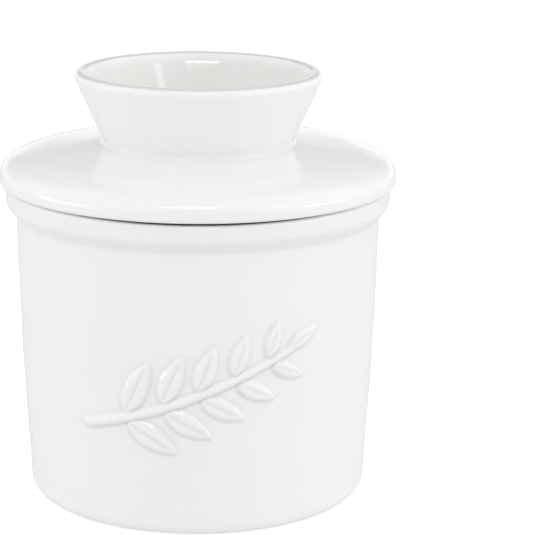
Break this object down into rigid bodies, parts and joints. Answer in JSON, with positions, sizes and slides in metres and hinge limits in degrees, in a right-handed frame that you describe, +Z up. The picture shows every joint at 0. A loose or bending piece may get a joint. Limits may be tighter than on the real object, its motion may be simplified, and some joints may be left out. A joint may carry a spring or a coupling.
{
  "type": "butter crock",
  "caption": "White glazed stoneware butter crock: a tapered pot with a beaded collar and a leaf relief, and a lift-off lid with a flared handle and a butter bell.",
  "frame": {"origin": "middle of the footprint, on the table the crock stands on", "axes": "+Z up along the crock's axis, -Y towards the relief on the front, +X to the right as the front is seen"},
  "size_m": [0.0998, 0.0998, 0.1077],
  "materials": {
    "white_glaze": "white gloss glaze over buff stoneware, bare on the foot ring and the seats"
  },
  "bodies": {
    "crock": {"crock_base": "white_glaze"},
    "lid": {"bell_lid": "white_glaze"}
  },
  "joints": [
    {"name": "lid_lift", "type": "slide", "parent": "crock", "child": "lid", "axis": [0, 0, 1], "range_m": [0, 0.08]}
  ]
}
